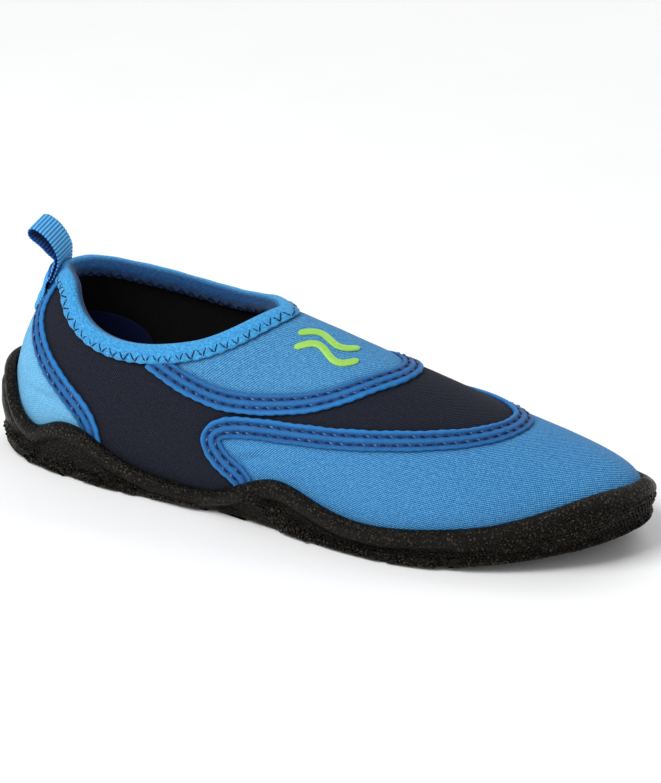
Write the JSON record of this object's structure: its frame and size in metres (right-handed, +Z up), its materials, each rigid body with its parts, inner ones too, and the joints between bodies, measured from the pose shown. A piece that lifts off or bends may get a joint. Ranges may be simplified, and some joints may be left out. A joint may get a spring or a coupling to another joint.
{
  "type": "neoprene water shoe",
  "caption": "Low-cut slip-on neoprene water shoe, right foot, with a wavy rubber cup sole, taped seams, bound collar and heel pull loop.",
  "frame": {"origin": "centre of the shoe's bounding box at ground level", "axes": "+X towards the toe, +Y towards the inner side of the foot, +Z up"},
  "size_m": [0.2644, 0.0985, 0.0906],
  "materials": {
    "sole_rubber": "matt, fine pebble texture",
    "navy_neoprene": "fine knit",
    "blue_neoprene": "fine knit",
    "pale_blue_neoprene": "fine knit",
    "black_knit": "brushed knit",
    "footbed_foam": "knit over foam",
    "royal_knit": "brushed knit",
    "seam_tape": "smooth knit",
    "collar_elastic": "soft elastic knit",
    "ribbon": "ribbed grosgrain",
    "navy_thread": "twisted thread",
    "lime_print": "flexible print"
  },
  "bodies": {
    "shoe": {"outsole": "sole_rubber", "side_panel": "navy_neoprene", "instep_panel": "blue_neoprene", "toe_panel": "blue_neoprene", "heel_panel": "pale_blue_neoprene", "lining_sock": "black_knit", "heel_lining_patch": "royal_knit", "collar_binding": "collar_elastic", "collar_zigzag_stitch": "navy_thread", "toe_seam_tape": "seam_tape", "toe_stitch_lower": "navy_thread", "toe_stitch_upper": "navy_thread", "instep_seam_tape": "seam_tape", "instep_stitch_lower": "navy_thread", "instep_stitch_upper": "navy_thread", "heel_seam_lateral_tape": "seam_tape", "heel_stitch_lateral_front": "navy_thread", "heel_stitch_lateral_rear": "navy_thread", "heel_seam_medial_tape": "seam_tape", "heel_stitch_medial_rear": "navy_thread", "heel_stitch_medial_front": "navy_thread", "print_wave_lower": "lime_print", "print_wave_upper": "lime_print", "insole_board": "black_knit", "footbed": "footbed_foam", "loop_tail": "ribbon", "loop_bartack": "navy_thread"},
    "loop": {"pull_loop": "ribbon"}
  },
  "joints": [
    {"name": "loop_fold", "type": "hinge", "parent": "shoe", "child": "loop", "pos_m": [-0.1103, 0.001, 0.0772], "axis": [0, 1, 0], "range_deg": [-55, 30], "stiffness_Nm_per_rad": 0.003}
  ]
}
